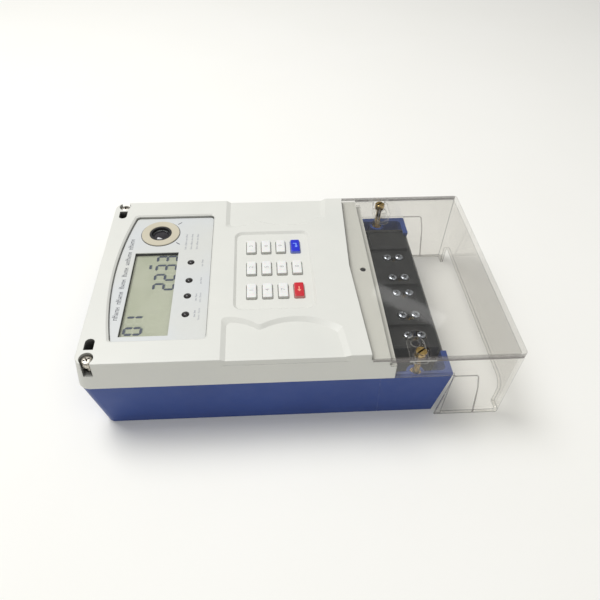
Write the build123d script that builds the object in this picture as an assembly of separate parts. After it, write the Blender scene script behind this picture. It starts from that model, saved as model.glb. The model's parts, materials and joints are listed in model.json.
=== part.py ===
"""Prepaid keypad electricity meter with a clear terminal cover, lying on its back.

Frame, in millimetres: +Z out of the front, +X from the display end to the terminal end, +Y across.
The origin is in the back plane, under the middle of the bounding box. Every subpart is written as
one STEP file, parts/NODE.step.
"""

import os

from build123d import *

# ---------------------------------------------------------------- driving dimensions
LENGTH = 296.0
WIDTH = 176.0
CASE_TOP = 70.4
PARTING_Z = 47.0
WALL = 2.5
GAP = 0.3
FIT = 0.05

HEAD_X = -LENGTH / 2
TAIL_X = LENGTH / 2
SIDE_Y = WIDTH / 2

# base tub, drafted towards the back
BASE_TOP_Z = PARTING_Z - 0.4
BASE_TOP_X = (HEAD_X + 1.2, 103.8)
BASE_BOTTOM_X = (HEAD_X + 8.6, 98.8)
BASE_TOP_Y = SIDE_Y - 1.4
BASE_BOTTOM_Y = SIDE_Y - 4.5
BASE_FLOOR = 2.5
BASE_HEAD_R, BASE_TAIL_R = 6.0, 1.2
BASE_END_WALL = 4.0
SEAM_X = (57.5, 54.0)
SEAM_WIDTH, SEAM_DEPTH = 0.5, 0.2
CAVITY_Y = 82.3
PARTITION_X = (54.6, 57.2)

# front cover
COVER_END_X = 63.0
COVER_TOP_Y = SIDE_Y - 2.4
COVER_INSIDE_Z = 67.4
LEDGE_Z = 65.5
LEDGE_END_X = 58.3
LIP_Z = 60.0
HOLLOW_X = (-52.6, 29.2)
HOLLOW_START_Y, HOLLOW_END_Y = -48.8, -60.2
HOLLOW_HUMP, HOLLOW_DIP, HOLLOW_CREST = (-39.7, -49.8), (-27.0, -56.8), (1.0, -49.8)
HOLLOW_LEAN, HOLLOW_R = 0.12, 3.5
HOLLOW_DEPTH, HOLLOW_SLOPE = 2.0, 3.5
SCOOP_Z, SCOOP_DEPTH = (64.9, CASE_TOP + 0.1), (0.15, 1.15)

# clear terminal cover
LID_TOP_Z = 68.4
LID_WALL = 2.6
LID_LIP_Y = SIDE_Y - 1.1
LID_RIM_R = 0.45
LID_CORNER_X = 46.3
LID_APEX_X = 41.9
LID_INNER_Y = SIDE_Y - LID_WALL
CABLE_SLOT_Y = 77.8
CABLE_SLOT_Z = 22.0
SEAL_X = 79.3
SEAL_SCREW_Y = 80.8
SEAL_WIRE_Y = 68.2
SEAL_COLLAR_Z = 59.0
SEAL_SEAT_Z = 62.0

# display recess, a straight rectangle with one bowed side
PANEL_RIGHT_X = -62.2
PANEL_CORNER_X = -125.6
PANEL_APEX_X = -133.4
PANEL_Y = 66.6
PANEL_FLOOR_Z = 66.8
PANEL_THICK = 0.8
PANEL_GAP = 0.55
LCD_X = (-121.3, -88.2)
LCD_Y = (-61.3, 23.4)
LCD_TOP_Z = 65.2
PORT_X, PORT_Y = -104.5, 46.4
PORT_RING_R = 15.0
PORT_HOLE_R = 8.8
LED_X = -77.8
LED_YS = (11.2, -8.6, -24.6, -42.5)

# keypad
KEYPAD_X = (-44.9, 14.6)
KEYPAD_Y = 42.7
KEYPAD_FLOOR_Z = 68.8
KEYPAD_SKIN = 2.2
KEY_PITCH_X, KEY_PITCH_Y = 11.4, 24.1
KEY_FIRST_X = -31.8
KEY_SIZE = (7.4, 14.6)
KEY_RISE = 2.3
KEY_TIP_Z = 61.0
KEY_NAMES = (
    ("key_1", "key_2", "key_3"),
    ("key_4", "key_5", "key_6"),
    ("key_7", "key_8", "key_9"),
    ("key_backspace", "key_0", "key_enter"),
)

# boards
BOARD_THICK = 1.6
DISPLAY_BOARD_TOP = 57.5
DISPLAY_BOARD_X = (-129.0, 56.0)
DISPLAY_BOARD_Y = 73.0
DISPLAY_POSTS = [(x, y) for x in (-125.0, -40.0, 30.0) for y in (-69.0, 69.0)]
MAIN_BOARD_Z = 12.0
MAIN_BOARD_TOP = MAIN_BOARD_Z + BOARD_THICK
MAIN_BOARD_X = (-134.0, 46.0)
MAIN_BOARD_Y = 75.0
MAIN_POSTS = [(x, y) for x in (-128.0, -40.0, 38.0) for y in (-70.0, 70.0)]

# terminals
BLOCK_X = (57.5, 103.4)
BLOCK_Y = 65.2
BLOCK_BOTTOM = 12.0
DECK_Z = 47.5
BARRIER_Z = 50.5
BARRIER_YS = (-63.9, -41.8, 0.0, 41.8, 63.9)
TERMINAL_YS = (-51.7, -32.0, -8.9, 8.4, 32.4)
CLAMP_X = (73.3, 95.3)
CLAMP_Z = (27.0, 44.0)
CLAMP_HALF_Y = 5.0
CONDUCTOR_Z = 34.0
CONDUCTOR_R = 4.0
TERMINAL_SCREW_XS = (79.5, 89.1)
TERMINAL_WELL_R = 4.1
BAR_HALF = (4.0, 1.5)

# parts on the main board
SWITCH_X = (-25.0, 25.0)
SWITCH_Y = (-62.0, 43.0)
SWITCH_TOP = 44.0
SWITCH_GROOVE_YS = (-41.0, -20.0, 0.0, 20.0)
RIBBON_X, RIBBON_Y = -60.0, -51.0
SOCKET_HALF = (3.0, 11.0)
SOCKET_Z = (21.6, 47.4)
RIBBON_THICK, RIBBON_WIDTH, RIBBON_BOW = 0.9, 18.0, 8.5
CORE_X, CORE_Y, CORE_TOP = (-112.0, -84.0), (22.0, 50.0), 38.0
CORE_WINDOW_X, CORE_WINDOW_Z = (-106.0, -90.0), (18.0, 34.0)
CORE_LEG_X = (-100.5, -95.5)
CAN_XS, CAN_Y, CAN_R, CAN_TOP = (-70.0, -52.0, -34.0), 40.0, 6.3, 37.0
CELL_AT = (-112.0, -38.0, 22.2)
CELL_R, CELL_LENGTH = 7.3, 25.0
CELL_TIP_R, CELL_TIP = 2.6, 1.4
CLIP_HALF_X, CLIP_THICK, CLIP_TOP = 6.0, 0.5, 27.0
CLIP_YS = (-52.3, -25.4)
COIN_AT, COIN_R, COIN_Z = (-84.0, -30.0), 9.5, (15.6, 22.0)
BUZZER_AT, BUZZER_R, BUZZER_TOP = (-84.0, 2.0), 6.0, 23.0
DISC_X, DISC_YS, DISC_Z = 8.0, (50.0, 58.0, 66.0), 23.0
DISC_R, DISC_THICK = 7.0, 4.2
CHIPS = (((-48, -34), (-10, 4)), ((-62, -54), (8, 18)), ((-50, -44), (-30, -20)))
CHIP_THICK = 1.8
COIL_BOX_X, COIL_BOX_TOP, COIL_BORE_R = (31.0, 43.0), 43.5, 4.7

# fixings
COVER_SCREW_X, COVER_SCREW_Y = -137.5, 80.5
WELL_R = 4.7
FIXING_X, FIXING_Y, FIXING_R = 93.0, 75.0, 2.75
HANGER_X = (-131.0, -101.0)
HANGER_Y = 16.0
HANGER_THICK = 1.5
BRACKET_HEAD_R, BRACKET_SHANK_R, BRACKET_SINK = 1.7, 1.2, 0.9
PLUNGER_X = 52.6
TAMPER_SWITCH_TOP = 59.6


# ---------------------------------------------------------------- shape helpers
def block(x, y, z):
    """Box between the (low, high) limits on each axis."""
    size = (x[1] - x[0], y[1] - y[0], z[1] - z[0])
    middle = ((x[0] + x[1]) / 2, (y[0] + y[1]) / 2, (z[0] + z[1]) / 2)
    return Pos(*middle) * Box(*size)


def widen(limits, margin):
    """Limits moved outwards by margin at both ends."""
    return (limits[0] - margin, limits[1] + margin)


def post(x, y, radius, z):
    """Upright cylinder from z[0] to z[1]."""
    return Pos(x, y, (z[0] + z[1]) / 2) * Cylinder(radius, z[1] - z[0])


def rod_x(y, z, radius, x):
    """Cylinder along X from x[0] to x[1]."""
    return Pos((x[0] + x[1]) / 2, y, z) * Rot(0, 90, 0) * Cylinder(radius, x[1] - x[0])


def rounded(x, half_y, radius, z):
    """Rounded rectangle at height z, symmetric about the XZ plane."""
    shape = RectangleRounded(x[1] - x[0], 2 * half_y, radius)
    return Pos((x[0] + x[1]) / 2, 0, z) * shape


def plain(x, half_y, z):
    """Rectangle at height z, symmetric about the XZ plane."""
    return Pos((x[0] + x[1]) / 2, 0, z) * Rectangle(x[1] - x[0], 2 * half_y)


def rounded_block(x, y, z, radius):
    """Box with rounded upright edges."""
    shape = RectangleRounded(x[1] - x[0], y[1] - y[0], radius)
    return extrude(Pos((x[0] + x[1]) / 2, (y[0] + y[1]) / 2, z[0]) * shape, z[1] - z[0])


def both_sides(part):
    """The part and its mirror image across the XZ plane."""
    return part + mirror(part, Plane.XZ)


def screw(x, y, head_z, head_r, shank_r, tip_z):
    """Cross-recess screw: head between the two head_z heights, shank down to tip_z."""
    body = post(x, y, head_r, head_z)
    body += post(x, y, shank_r, (tip_z, head_z[0] + 0.1))
    depth = 0.45 * (head_z[1] - head_z[0])
    recess = (head_z[1] - depth, head_z[1] + 1)
    reach, slot = 0.62 * head_r, 0.14 * head_r
    body -= block((x - reach, x + reach), (y - slot, y + slot), recess)
    body -= block((x - slot, x + slot), (y - reach, y + reach), recess)
    return body


def key_places():
    """Name and centre of each key; the display end of the keypad is its top."""
    for row, names in enumerate(KEY_NAMES):
        for column, name in enumerate(names):
            yield name, KEY_FIRST_X + row * KEY_PITCH_X, (column - 1) * KEY_PITCH_Y


def panel_outline(margin, z):
    """Outline of the display recess, grown by margin: three straight sides and a bow."""
    right, corner = PANEL_RIGHT_X + margin, PANEL_CORNER_X - margin
    apex, side = PANEL_APEX_X - margin, PANEL_Y + margin
    straight = Polyline((corner, -side), (right, -side), (right, side), (corner, side))
    bow = ThreePointArc((corner, side), (apex, 0), (corner, -side))
    face = make_face(straight.edges() + bow.edges())
    return Pos(0, 0, z) * fillet(face.vertices(), 3.0)


# ---------------------------------------------------------------- case
def make_base():
    """Blue tub: electronics bay, terminal chamber, wall fixings and hanger pocket."""
    outer = loft(
        [plain(BASE_BOTTOM_X, BASE_BOTTOM_Y, 0), plain(BASE_TOP_X, BASE_TOP_Y, BASE_TOP_Z)]
    )
    outer = fillet(corner_edges(outer)[:2], BASE_HEAD_R)
    outer = fillet(corner_edges(outer)[-2:], BASE_TAIL_R)

    bay = loft(
        [
            rounded((BASE_BOTTOM_X[0] + WALL, PARTITION_X[0]), BASE_BOTTOM_Y - WALL, 2.0, BASE_FLOOR),
            rounded((BASE_TOP_X[0] + 3.4, PARTITION_X[0]), CAVITY_Y, 3.5, BASE_TOP_Z + 0.1),
        ]
    )
    chamber = loft(
        [
            rounded((PARTITION_X[1], BASE_BOTTOM_X[1] - WALL), BASE_BOTTOM_Y - WALL, 2.0, BASE_FLOOR),
            rounded((PARTITION_X[1], BASE_TOP_X[1] - BASE_END_WALL), CAVITY_Y, 3.5, BASE_TOP_Z + 0.1),
        ]
    )
    shell = outer - bay - chamber

    inside = Part() + [post(x, y, 3.5, (1, MAIN_BOARD_Z)) for x, y in MAIN_POSTS]
    inside += both_sides(post(COVER_SCREW_X, COVER_SCREW_Y, 4.6, (1, BASE_TOP_Z)))
    inside += both_sides(post(SEAL_X, SEAL_SCREW_Y, 6.2, (1, CLAMP_Z[1] - 0.4)))
    inside += both_sides(post(FIXING_X, FIXING_Y, 6.0, (1, 6)))
    for y in (-58.0, 0.0, 58.0):
        inside += block((60, 97), (y - 2, y + 2), (1, BLOCK_BOTTOM))
    inside += block(widen(HANGER_X, 4), (-HANGER_Y, HANGER_Y), (1, 9))
    shell += inside & outer

    shell -= block((95, 110), (-BLOCK_Y - GAP, BLOCK_Y + GAP), (BLOCK_BOTTOM, 60))
    shell -= block((HANGER_X[0] + 2, HANGER_X[1] - 2), (2 - HANGER_Y, HANGER_Y - 2), (-1, 7))
    shell -= block((HANGER_X[0] - 3, HANGER_X[1] + 3), (-HANGER_Y, HANGER_Y), (-1, HANGER_THICK))
    for x, y in bracket_screw_places():
        shell -= post(x, y, 1.25, (0, 8))
    for x, y in MAIN_POSTS:
        shell -= post(x, y, 1.25, (4, MAIN_BOARD_Z + 1))
    shell -= both_sides(post(COVER_SCREW_X, COVER_SCREW_Y, 1.95 + FIT, (25, 60)))
    shell -= both_sides(post(SEAL_X, SEAL_SCREW_Y, 4.0 + FIT, (31, 60)))
    shell -= both_sides(post(SEAL_X, SEAL_SCREW_Y, 2.6, (26, 32)))
    shell -= both_sides(post(FIXING_X, FIXING_Y, FIXING_R, (-1, 10)))
    shell -= gasket_ring(BASE_TOP_Z - 1.2, 60)
    for y in TERMINAL_YS:
        shell -= block((54, 58), bar_y(y, 0.3), bar_z(0.3))
    return shell - both_sides(base_seam())


def corner_edges(body):
    """The four steep edges of a drafted box, from the display end to the terminal end."""
    steep = [edge for edge in body.edges() if abs((edge % 0.5).Z) > 0.5]
    return sorted(steep, key=lambda edge: (edge @ 0.5).X)


def base_seam():
    """Faint upright witness line on the outside of the base, at the end of the bay."""
    ends = []
    for x, y, z in ((SEAM_X[0], BASE_BOTTOM_Y, 0), (SEAM_X[1], BASE_TOP_Y, BASE_TOP_Z)):
        ends.append(Pos(x, y + 1 - SEAM_DEPTH, z) * Rectangle(SEAM_WIDTH, 2))
    return loft(ends)


def gasket_ring(low, high):
    """Rectangular ring round the electronics bay between two heights."""
    outer_x = (BASE_TOP_X[0] + 1.6, PARTITION_X[1] - 0.8)
    inner_x = (outer_x[0] + 1, outer_x[1] - 1)
    ring = rounded(outer_x, CAVITY_Y + 1.7, 4.5, low) - rounded(inner_x, CAVITY_Y + 0.7, 3.5, low)
    return extrude(ring, high - low)


def cover_side(z):
    """Distance of the front cover's side wall from the middle plane at height z."""
    return SIDE_Y - (SIDE_Y - COVER_TOP_Y) * (z - PARTING_Z) / (CASE_TOP - PARTING_Z)


def side_recess():
    """Shallow hollow along the near edge of the front: a hump, a dip and a long crest."""
    sections = []
    for shift, z in ((HOLLOW_SLOPE, CASE_TOP - HOLLOW_DEPTH), (0, CASE_TOP + 0.05)):
        left, right = HOLLOW_X[0] + shift, HOLLOW_X[1] - shift
        start, end = (left, HOLLOW_START_Y - shift), (right, HOLLOW_END_Y - shift)
        dip = (HOLLOW_DIP[0], HOLLOW_DIP[1] - shift)
        hump = ThreePointArc(start, (HOLLOW_HUMP[0], HOLLOW_HUMP[1] - shift), dip)
        crest = ThreePointArc(dip, (HOLLOW_CREST[0], HOLLOW_CREST[1] - shift), end)
        straight = Polyline(end, (right + HOLLOW_LEAN * (end[1] + 95), -95), (left, -95), start)
        face = make_face(hump.edges() + crest.edges() + straight.edges())
        soft = [face.vertices().sort_by_distance(point)[0] for point in (start, dip)]
        sections.append(Pos(0, 0, z) * fillet(soft, HOLLOW_R))
    return loft(sections) + side_scoop()


def side_scoop():
    """Run-out of the hollow: a set-back of the cover's side wall that fades downwards."""
    left, right = HOLLOW_X[0], HOLLOW_X[1] + HOLLOW_LEAN * (COVER_TOP_Y + HOLLOW_END_Y)
    sections = []
    for z, depth in zip(SCOOP_Z, SCOOP_DEPTH):
        wall = -cover_side(z)
        floor = [(left + HOLLOW_SLOPE, wall + depth), (right - HOLLOW_SLOPE, wall + depth)]
        outline = Polygon((left, wall), *floor, (right, wall), (right, -95), (left, -95), align=None)
        sections.append(Pos(0, 0, z) * outline)
    return loft(sections)


def make_top_cover():
    """Light front cover with the display recess, the keypad recess and the lid's ledge."""
    outer = loft(
        [
            rounded((HEAD_X, 80), SIDE_Y, 9.0, PARTING_Z),
            rounded((HEAD_X + 3, 80), COVER_TOP_Y, 8.0, CASE_TOP),
        ]
    )
    outer = fillet(outer.faces().sort_by(Axis.Z)[-1].edges(), 0.8)
    outer = fillet(outer.faces().sort_by(Axis.Z)[0].edges(), 0.5)
    outer -= block((COVER_END_X, 90), (-95, 95), (40, 80))
    ledge = Polygon(
        (LID_APEX_X - GAP, 0),
        (LID_CORNER_X - GAP, -95),
        (90, -95),
        (90, 95),
        (LID_CORNER_X - GAP, 95),
        align=None,
    )
    outer -= extrude(Pos(0, 0, LEDGE_Z) * ledge, 20)
    outer -= block((LEDGE_END_X, 90), (-95, 95), (LIP_Z, 80))

    # hollow under the front, a narrower band beneath the ledge and a rim over the gasket
    hollow = loft(
        [
            rounded((HEAD_X + WALL, 50.2), SIDE_Y - WALL, 6.5, 49.5),
            rounded((HEAD_X + 3 + WALL, 50.2), COVER_TOP_Y - WALL, 5.5, COVER_INSIDE_Z),
        ]
    )
    hollow -= block((LID_APEX_X - 3, 60), (-90, 90), (LEDGE_Z - WALL, 80))
    hollow += block((40, 57.4), (-82, 82), (PARTING_Z - 1, LEDGE_Z - WALL))
    hollow += rounded_block((HEAD_X + 4.6, 52), (-CAVITY_Y, CAVITY_Y), (PARTING_Z - 1, 50), 3.5)
    hollow += block((59.6, 61.2), (-80, 80), (PARTING_Z - 1, LIP_Z - WALL))

    pads = extrude(panel_outline(2.0, PANEL_FLOOR_Z - 2.0), 3.0)
    pads += block((KEYPAD_X[0] - 2, KEYPAD_X[1] + 2), (-45, 45), (KEYPAD_FLOOR_Z - KEYPAD_SKIN, 68))
    corner = block((-150, -131.2), (62.5, 95), (PARTING_Z - 1, 80))
    for x, y in DISPLAY_POSTS:
        pads += post(x, y, 3.0, (DISPLAY_BOARD_TOP, 68))
    cover = outer - (hollow - pads - both_sides(corner))

    # display recess with a small lead-in slope, its windows, the port and the lamps
    cover -= extrude(panel_outline(0, PANEL_FLOOR_Z), 10)
    cover -= loft([panel_outline(0, CASE_TOP - 1.0), panel_outline(1.3, CASE_TOP + 0.05)])
    cover -= block(widen(LCD_X, 1.4), widen(LCD_Y, 1.4), (60, 68))
    cover -= post(PORT_X, PORT_Y, PORT_HOLE_R + 0.1, (60, 68))
    for y in LED_YS:
        cover -= post(LED_X, y, 2.75, (60, 68))

    # keypad recess with sloping sides and one opening for each key
    low, high = KEYPAD_FLOOR_Z, CASE_TOP + 0.05
    cover -= loft(
        [
            rounded(widen(KEYPAD_X, -2.0), KEYPAD_Y - 2.0, 4.5, low),
            rounded(KEYPAD_X, KEYPAD_Y, 6.5, high),
        ]
    )
    for _, x, y in key_places():
        cover -= key_prism(x, y, GAP, (60, 75))

    cover -= side_recess() + mirror(side_recess(), Plane.XZ)

    # sealing points at the display end: screw well, side notch, wire pocket, tunnel between
    notch_x = (COVER_SCREW_X - 3.2, COVER_SCREW_X + 3.2)
    seal = post(COVER_SCREW_X, COVER_SCREW_Y, WELL_R, (64, 80))
    seal += block(notch_x, (COVER_SCREW_Y, 95), (59, 80))
    seal += rounded_block(notch_x, (64.2, 72.4), (59, 80), 3.1)
    seal += block(notch_x, (69.0, 73.6), (59, 80))
    seal += block(notch_x, (72, 86), (59, 64.5))
    seal += post(COVER_SCREW_X, COVER_SCREW_Y, 2.2, (40, 66))
    cover -= both_sides(seal)

    for x, y in DISPLAY_POSTS:
        cover -= post(x, y, 1.15, (DISPLAY_BOARD_TOP - 1, 64))
    cover -= post(PLUNGER_X, 0, 2.2, (60, 70))
    return cover


def make_cover_gasket():
    """Rubber ring squeezed between base and front cover."""
    return gasket_ring(BASE_TOP_Z - 1.2, PARTING_Z)


def make_cover_screws():
    """Sealable screws that hold the front cover at the display end."""
    one = screw(COVER_SCREW_X, COVER_SCREW_Y, (64.6, 69.2), 4.0, 1.95, 26)
    return both_sides(one)


# ---------------------------------------------------------------- display
def make_nameplate():
    """Printed panel in the display recess, pierced for the window, port and lamps."""
    panel = extrude(panel_outline(-PANEL_GAP, PANEL_FLOOR_Z), PANEL_THICK)
    z = (60, 70)
    panel -= block(LCD_X, LCD_Y, z)
    panel -= post(PORT_X, PORT_Y, PORT_RING_R + 0.2, z)
    for y in LED_YS:
        panel -= post(LED_X, y, 2.75, z)
    return panel


def make_display_window():
    """Clear pane under the panel, over the liquid-crystal glass."""
    return block(widen(LCD_X, 1.2), widen(LCD_Y, 1.2), (PANEL_FLOOR_Z - 1.0, PANEL_FLOOR_Z))


def make_window_gasket():
    """Black foam ring that closes the gap between the pane and the cell."""
    outer_x, outer_y = widen(LCD_X, 1.35), widen(LCD_Y, 1.35)
    z = (LCD_TOP_Z - 0.6, PANEL_FLOOR_Z - 1.0)
    return block(outer_x, outer_y, z) - block(LCD_X, LCD_Y, (60, 70))


def make_lcd_glass():
    """Liquid-crystal cell, two panes as one slab."""
    return block(widen(LCD_X, 2.0), widen(LCD_Y, 2.2), (62.4, LCD_TOP_Z - 0.6))


def make_lcd_backlight():
    """Light guide below the liquid-crystal cell."""
    return block(widen(LCD_X, 1.6), widen(LCD_Y, 1.8), (58.6, 62.4))


def make_lcd_frame():
    """Holder that carries the cell and light guide on the display board."""
    outer = block(widen(LCD_X, 4.0), widen(LCD_Y, 4.2), (DISPLAY_BOARD_TOP, LCD_TOP_Z - 0.6))
    outer -= block(widen(LCD_X, 2.1), widen(LCD_Y, 2.3), (58.6, 70))
    outer -= block(widen(LCD_X, -3), widen(LCD_Y, -3), (55, 70))
    return outer


def make_optical_port_ring():
    """Steel ring that holds the magnetic reading head."""
    ring = post(PORT_X, PORT_Y, PORT_RING_R, (PANEL_FLOOR_Z, 68.4))
    ring -= post(PORT_X, PORT_Y, PORT_HOLE_R, (60, 70))
    return chamfer(ring.faces().sort_by(Axis.Z)[-1].edges(), 0.25)


def make_optical_port_barrel():
    """Dark barrel from the display board up into the ring."""
    barrel = post(PORT_X, PORT_Y, PORT_HOLE_R - 0.1, (DISPLAY_BOARD_TOP, 68.0))
    barrel -= post(PORT_X, PORT_Y, 7.2, (DISPLAY_BOARD_TOP + 1, 70))
    for side in (-1, 1):
        barrel -= post(PORT_X, PORT_Y + side * 3.3, 2.6, (55, 60))
    return barrel


def make_optical_port_lens():
    """Smoked window in the mouth of the barrel, domed outwards."""
    disc = post(PORT_X, PORT_Y, 7.1, (64.6, 65.6))
    dome = Pos(PORT_X, PORT_Y, 65.6 - 16.2) * Sphere(17.5)
    return disc + (dome & post(PORT_X, PORT_Y, 6.4, (65.5, 68)))


def make_infrared_diodes():
    """Sender and receiver behind the port's window."""
    pair = Part()
    for side in (-1, 1):
        pair += domed_lamp(PORT_X, PORT_Y + side * 3.3, 2.5, (DISPLAY_BOARD_TOP, 61.4))
    return pair


def domed_lamp(x, y, radius, z):
    """Cylinder with a hemispherical end standing above z[1]."""
    return post(x, y, radius, z) + Pos(x, y, z[1]) * Sphere(radius)


def make_status_leds():
    """Four lamps on the display board that look out through the panel."""
    lamps = Part()
    for y in LED_YS:
        lamps += domed_lamp(LED_X, y, 2.5, (DISPLAY_BOARD_TOP, 65.9))
    return lamps


def make_display_pcb():
    """Upper board: display, keys, port and lamps."""
    z = (DISPLAY_BOARD_TOP - BOARD_THICK, DISPLAY_BOARD_TOP)
    board = rounded_block(DISPLAY_BOARD_X, (-DISPLAY_BOARD_Y, DISPLAY_BOARD_Y), z, 1.5)
    for x, y in DISPLAY_POSTS:
        board -= post(x, y, 1.4, (50, 60))
    return board


def make_display_pcb_screws():
    """Screws that hold the upper board to the posts of the front cover."""
    board_back = DISPLAY_BOARD_TOP - BOARD_THICK
    group = Part()
    for x, y in DISPLAY_POSTS:
        group += post(x, y, 2.6, (board_back - 1.6, board_back))
        group += post(x, y, 1.1, (board_back - 0.1, 62.5))
        group -= block((x - 1.9, x + 1.9), (y - 0.4, y + 0.4), (50, board_back - 0.9))
    return group


# ---------------------------------------------------------------- keypad
def key_prism(x, y, margin, z):
    """Upright prism with a key's plan, grown by margin."""
    half_x, half_y = KEY_SIZE[0] / 2 + margin, KEY_SIZE[1] / 2 + margin
    return rounded_block((x - half_x, x + half_x), (y - half_y, y + half_y), z, 0.9 + margin)


def make_key(x, y):
    """Key cap with a drafted crown, a retaining flange and the stem to its switch."""
    top = KEYPAD_FLOOR_Z + KEY_RISE
    waist = KEYPAD_FLOOR_Z + 0.4
    under = KEYPAD_FLOOR_Z - KEYPAD_SKIN - 0.1
    foot = Pos(x, y, waist) * RectangleRounded(KEY_SIZE[0], KEY_SIZE[1], 0.9)
    crown = Pos(x, y, top) * RectangleRounded(KEY_SIZE[0] - 0.8, KEY_SIZE[1] - 0.8, 0.9)
    cap = loft([foot, crown]) + key_prism(x, y, 0, (under - 1.2, waist))
    cap = fillet(cap.faces().sort_by(Axis.Z)[-1].edges(), 0.25)
    cap += block((x - 5, x + 5), (y - 8.4, y + 8.4), (under - 1.2, under))
    cap += post(x, y, 1.6, (KEY_TIP_Z, under - 1.0))
    return cap


def switch_body(x, y):
    """Tactile switch whose bore guides the stem above it."""
    top = KEY_TIP_Z + 0.8
    body = block((x - 3.1, x + 3.1), (y - 3.1, y + 3.1), (DISPLAY_BOARD_TOP, top))
    return body - post(x, y, 1.68, (DISPLAY_BOARD_TOP + 0.8, top + 1))


def make_key_switches():
    """One tactile switch under each key."""
    return Part() + [switch_body(x, y) for _, x, y in key_places()]


def make_tamper_plunger():
    """Pin in the ledge that the terminal cover holds down."""
    pin = post(PLUNGER_X, 0, 1.95, (62.2, LEDGE_Z - 0.2))
    pin = fillet(pin.faces().sort_by(Axis.Z)[-1].edges(), 0.6)
    pin += post(PLUNGER_X, 0, 2.9, (61.8, 62.7))
    return pin + post(PLUNGER_X, 0, 1.6, (TAMPER_SWITCH_TOP - 0.2, 62.0))


def make_tamper_switch():
    """Switch on the upper board, under the cover-open plunger."""
    top = TAMPER_SWITCH_TOP
    body = block((PLUNGER_X - 3.1, PLUNGER_X + 3.1), (-3.1, 3.1), (DISPLAY_BOARD_TOP, top))
    return body - post(PLUNGER_X, 0, 1.68, (DISPLAY_BOARD_TOP + 0.3, top + 1))


# ---------------------------------------------------------------- electronics
def make_main_pcb():
    """Lower board on the posts of the base."""
    z = (MAIN_BOARD_Z, MAIN_BOARD_TOP)
    board = rounded_block(MAIN_BOARD_X, (-MAIN_BOARD_Y, MAIN_BOARD_Y), z, 1.5)
    for x, y in MAIN_POSTS:
        board -= post(x, y, 1.5, (10, 15))
    return board


def make_main_pcb_screws():
    """Screws that hold the lower board."""
    head = (MAIN_BOARD_TOP, MAIN_BOARD_TOP + 1.8)
    return Part() + [screw(x, y, head, 2.8, 1.2, 5) for x, y in MAIN_POSTS]


def make_ribbon_connectors():
    """Sockets at both ends of the ribbon cable."""
    x = widen((RIBBON_X, RIBBON_X), SOCKET_HALF[0])
    y = widen((RIBBON_Y, RIBBON_Y), SOCKET_HALF[1])
    lower = block(x, y, (MAIN_BOARD_TOP, SOCKET_Z[0]))
    return lower + block(x, y, (SOCKET_Z[1], DISPLAY_BOARD_TOP - BOARD_THICK))


def make_ribbon_cable():
    """Flat cable bowed between the two sockets."""
    low, high = SOCKET_Z
    middle = (low + high) / 2
    front = RIBBON_X + RIBBON_THICK / 2
    back = front - RIBBON_THICK
    outer = ThreePointArc((front, low), (front + RIBBON_BOW, middle), (front, high))
    inner = ThreePointArc((back, high), (back + RIBBON_BOW, middle), (back, low))
    ends = Line(outer @ 1, inner @ 0).edges() + Line(inner @ 1, outer @ 0).edges()
    profile = Plane.XZ * make_face(outer.edges() + inner.edges() + ends)
    return Pos(0, RIBBON_Y + RIBBON_WIDTH / 2, 0) * extrude(profile, RIBBON_WIDTH)


def make_transformer_core():
    """Ferrite frame of the supply transformer."""
    frame = block(CORE_X, CORE_Y, (MAIN_BOARD_TOP, CORE_TOP))
    frame -= block(CORE_WINDOW_X, widen(CORE_Y, 2), CORE_WINDOW_Z)
    return frame + block(CORE_LEG_X, CORE_Y, CORE_WINDOW_Z)


def make_transformer_winding():
    """Taped coil on the middle leg of the core."""
    x, z = widen(CORE_WINDOW_X, -0.2), widen(CORE_WINDOW_Z, -0.2)
    coil = rounded_block(x, widen(CORE_Y, 4), z, 1.5)
    return coil - block(widen(CORE_LEG_X, 0.1), widen(CORE_Y, 0.1), widen(z, 1))


def make_capacitors():
    """Supply capacitors, standing cans with a vent line across the top."""
    group = Part()
    for x in CAN_XS:
        can = post(x, CAN_Y, CAN_R, (MAIN_BOARD_TOP, CAN_TOP))
        can = fillet(can.faces().sort_by(Axis.Z)[-1].edges(), 0.8)
        group += can - block((x - 4.5, x + 4.5), (CAN_Y - 0.3, CAN_Y + 0.3), (CAN_TOP - 0.4, CAN_TOP + 1))
    return group


def make_backup_battery():
    """Lithium cell for the clock, with its raised contact."""
    cell = Rot(90, 0, 0) * Cylinder(CELL_R, CELL_LENGTH)
    tip = Rot(90, 0, 0) * Cylinder(CELL_TIP_R, CELL_TIP)
    return Pos(*CELL_AT) * (cell + Pos(0, -(CELL_LENGTH + 1) / 2, 0) * tip)


def make_battery_clips():
    """Spring plates at both ends of the cell."""
    x = widen((CELL_AT[0], CELL_AT[0]), CLIP_HALF_X)
    return Part() + [block(x, (y, y + CLIP_THICK), (MAIN_BOARD_TOP, CLIP_TOP)) for y in CLIP_YS]


def make_supercapacitor():
    """Coin-shaped reserve capacitor on a square foot."""
    x, y = COIN_AT
    foot = block((x - 7, x + 7), (y - 7, y + 7), (MAIN_BOARD_TOP, COIN_Z[0]))
    return post(x, y, COIN_R, COIN_Z) + foot


def make_buzzer():
    """Sounder can with its sound hole."""
    can = post(*BUZZER_AT, BUZZER_R, (MAIN_BOARD_TOP, BUZZER_TOP))
    return can - post(*BUZZER_AT, 1.2, (BUZZER_TOP - 3, BUZZER_TOP + 1))


def make_varistors():
    """Surge arresters, one disc for each of three inputs."""
    group = Part()
    for y in DISC_YS:
        disc = Pos(DISC_X, y, DISC_Z) * Rot(90, 0, 0) * Cylinder(DISC_R, DISC_THICK)
        foot = block((DISC_X - 3, DISC_X + 3), (y - 1.4, y + 1.4), (MAIN_BOARD_TOP, DISC_Z - 3))
        group += disc + foot
    return group


def make_meter_chips():
    """Metering, memory and processor packages."""
    z = (MAIN_BOARD_TOP, MAIN_BOARD_TOP + CHIP_THICK)
    return Part() + [block(x, y, z) for x, y in CHIPS]


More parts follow.
